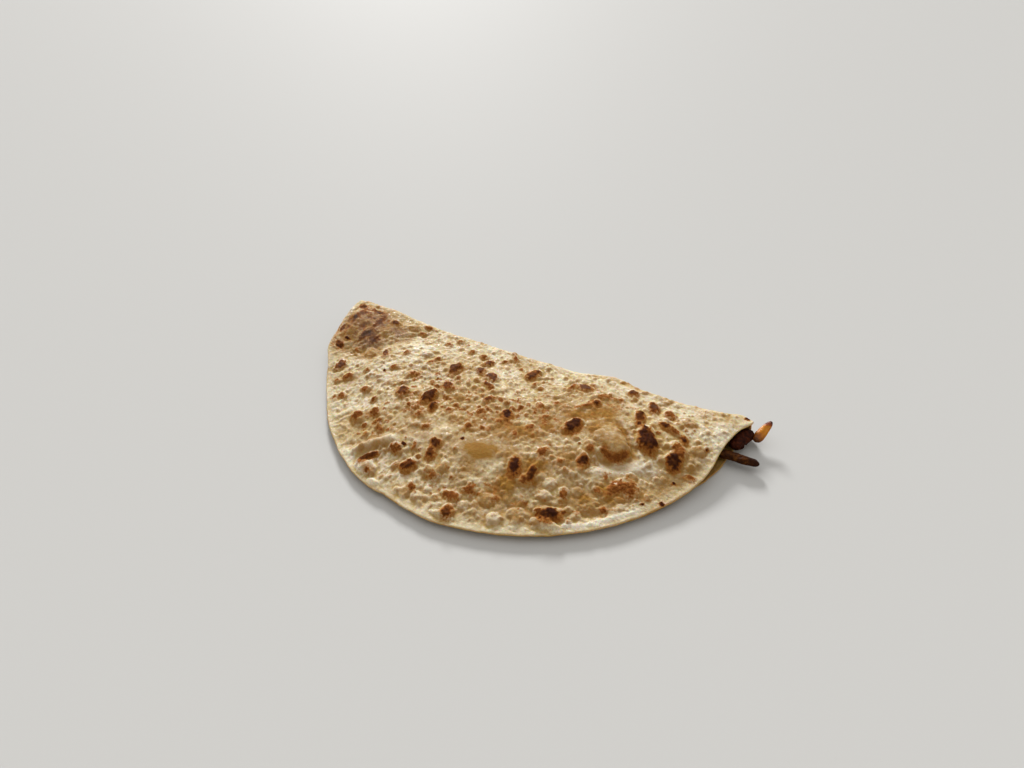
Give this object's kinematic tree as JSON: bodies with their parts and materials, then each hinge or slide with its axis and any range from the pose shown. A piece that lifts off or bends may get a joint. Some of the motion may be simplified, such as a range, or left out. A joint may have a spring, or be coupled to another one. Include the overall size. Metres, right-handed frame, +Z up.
{
  "type": "quesadilla",
  "caption": "Flour tortilla folded over a meat, pepper and cheese filling, with a browned blistered top and strips of filling that hang out of the open tip.",
  "frame": {"origin": "middle of the whole quesadilla's footprint, on the surface it lies on", "axes": "+X along the fold towards the open tip with the filling, +Y towards the fold and away from the round rim, +Z up"},
  "size_m": [0.3, 0.1462, 0.016],
  "materials": {
    "tortilla": "dry browned dough with dark blisters and a slight sheen of oil",
    "filling": "moist, melted cheese and chopped meat",
    "meat": "moist dark seared meat",
    "pepper": "moist roasted pepper with a charred end",
    "onion": "moist, translucent"
  },
  "bodies": {
    "root": {"tortilla": "tortilla", "filling": "filling", "meat_strip_upper": "meat", "meat_strip_lower": "meat", "pepper_strip": "pepper", "onion_sliver": "onion"}
  },
  "joints": []
}
